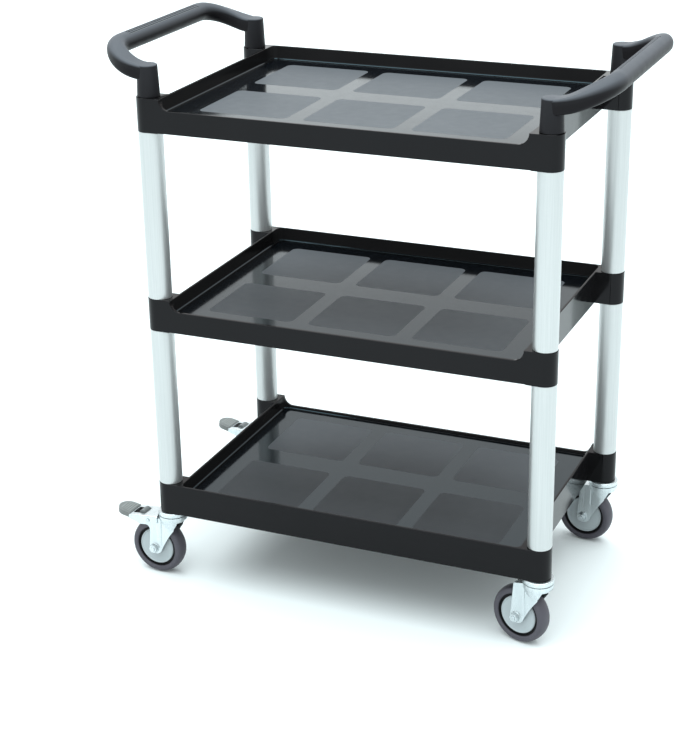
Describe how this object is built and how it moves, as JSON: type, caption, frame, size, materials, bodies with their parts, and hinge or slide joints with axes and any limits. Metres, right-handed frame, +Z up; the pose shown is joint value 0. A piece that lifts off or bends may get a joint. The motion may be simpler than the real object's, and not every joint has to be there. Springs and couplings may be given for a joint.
{
  "type": "serving trolley",
  "caption": "Serving trolley with moulded black trays on round aluminium posts, a bent push handle over each end and swivel casters, some with foot brakes.",
  "frame": {"origin": "on the floor, midway between the brake pedal tips and the far handle grip, on the mid-plane of the posts", "axes": "+Z up, +X along the trolley towards the end without brakes, -Y towards the front, where the two upper trays have their low lip"},
  "size_m": [0.872, 0.4429, 0.9423],
  "materials": {
    "tray_black": "glossy black moulding, satin floor panels",
    "post_aluminium": "satin anodised tube",
    "insert_plastic": "plain moulding",
    "handle_grey": "fine matte moulding",
    "zinc_steel": "bright zinc plating",
    "tyre_rubber": "dark grey rubber",
    "core_plastic": "plain moulding",
    "hub_grey": "smooth grey moulding",
    "pad_grey": "ribbed grey moulding"
  },
  "bodies": {
    "trolley": {"top_tray": "tray_black", "middle_tray": "tray_black", "bottom_tray": "tray_black", "post_plugs": "insert_plastic", "middle_joiners": "insert_plastic", "caster_sockets": "insert_plastic", "left_handle": "handle_grey", "right_handle": "handle_grey", "front_left_lower_post": "post_aluminium", "front_left_upper_post": "post_aluminium", "front_right_lower_post": "post_aluminium", "front_right_upper_post": "post_aluminium", "back_left_lower_post": "post_aluminium", "back_left_upper_post": "post_aluminium", "back_right_lower_post": "post_aluminium", "back_right_upper_post": "post_aluminium", "front_left_caster_stem": "zinc_steel", "front_left_swivel_cup": "zinc_steel", "front_right_caster_stem": "zinc_steel", "front_right_swivel_cup": "zinc_steel", "back_left_caster_stem": "zinc_steel", "back_left_swivel_cup": "zinc_steel", "back_right_caster_stem": "zinc_steel", "back_right_swivel_cup": "zinc_steel"},
    "front_left_swivel": {"front_left_fork": "zinc_steel", "front_left_ball_ring": "zinc_steel", "front_left_axle": "zinc_steel", "front_left_axle_sleeve": "zinc_steel", "front_left_brake_pin": "zinc_steel"},
    "front_left_wheel": {"front_left_tyre": "tyre_rubber", "front_left_wheel_core": "core_plastic", "front_left_hub_covers": "hub_grey"},
    "front_left_pedal": {"front_left_brake_lever": "zinc_steel", "front_left_brake_pad": "pad_grey", "front_left_brake_shoe": "pad_grey"},
    "front_right_swivel": {"front_right_fork": "zinc_steel", "front_right_ball_ring": "zinc_steel", "front_right_axle": "zinc_steel", "front_right_axle_sleeve": "zinc_steel"},
    "front_right_wheel": {"front_right_tyre": "tyre_rubber", "front_right_wheel_core": "core_plastic", "front_right_hub_covers": "hub_grey"},
    "back_left_swivel": {"back_left_fork": "zinc_steel", "back_left_ball_ring": "zinc_steel", "back_left_axle": "zinc_steel", "back_left_axle_sleeve": "zinc_steel", "back_left_brake_pin": "zinc_steel"},
    "back_left_wheel": {"back_left_tyre": "tyre_rubber", "back_left_wheel_core": "core_plastic", "back_left_hub_covers": "hub_grey"},
    "back_left_pedal": {"back_left_brake_lever": "zinc_steel", "back_left_brake_pad": "pad_grey", "back_left_brake_shoe": "pad_grey"},
    "back_right_swivel": {"back_right_fork": "zinc_steel", "back_right_ball_ring": "zinc_steel", "back_right_axle": "zinc_steel", "back_right_axle_sleeve": "zinc_steel"},
    "back_right_wheel": {"back_right_tyre": "tyre_rubber", "back_right_wheel_core": "core_plastic", "back_right_hub_covers": "hub_grey"}
  },
  "joints": [
    {"name": "front_left_swivel_turn", "type": "hinge", "parent": "trolley", "child": "front_left_swivel", "pos_m": [-0.32579, -0.194, 0.117], "axis": [0, 0, 1], "continuous": true},
    {"name": "front_left_wheel_roll", "type": "hinge", "parent": "front_left_swivel", "child": "front_left_wheel", "pos_m": [-0.35673, -0.19211, 0.05], "axis": [-0.061, -0.9981, 0], "continuous": true},
    {"name": "front_left_pedal_press", "type": "hinge", "parent": "front_left_swivel", "child": "front_left_pedal", "pos_m": [-0.36572, -0.19156, 0.1035], "axis": [-0.061, -0.9981, 0], "range_deg": [0, 14]},
    {"name": "front_right_swivel_turn", "type": "hinge", "parent": "trolley", "child": "front_right_swivel", "pos_m": [0.34021, -0.194, 0.117], "axis": [0, 0, 1], "continuous": true},
    {"name": "front_right_wheel_roll", "type": "hinge", "parent": "front_right_swivel", "child": "front_right_wheel", "pos_m": [0.31041, -0.18546, 0.05], "axis": [-0.2756, -0.9613, 0], "continuous": true},
    {"name": "back_left_swivel_turn", "type": "hinge", "parent": "trolley", "child": "back_left_swivel", "pos_m": [-0.32579, 0.194, 0.117], "axis": [0, 0, 1], "continuous": true},
    {"name": "back_left_wheel_roll", "type": "hinge", "parent": "back_left_swivel", "child": "back_left_wheel", "pos_m": [-0.35662, 0.19724, 0.05], "axis": [-0.1045, -0.9945, 0], "continuous": true},
    {"name": "back_left_pedal_press", "type": "hinge", "parent": "back_left_swivel", "child": "back_left_pedal", "pos_m": [-0.36557, 0.19818, 0.1035], "axis": [-0.1045, -0.9945, 0], "range_deg": [0, 14]},
    {"name": "back_right_swivel_turn", "type": "hinge", "parent": "trolley", "child": "back_right_swivel", "pos_m": [0.34021, 0.194, 0.117], "axis": [0, 0, 1], "continuous": true},
    {"name": "back_right_wheel_roll", "type": "hinge", "parent": "back_right_swivel", "child": "back_right_wheel", "pos_m": [0.30951, 0.19831, 0.05], "axis": [-0.1392, -0.9903, 0], "continuous": true}
  ]
}
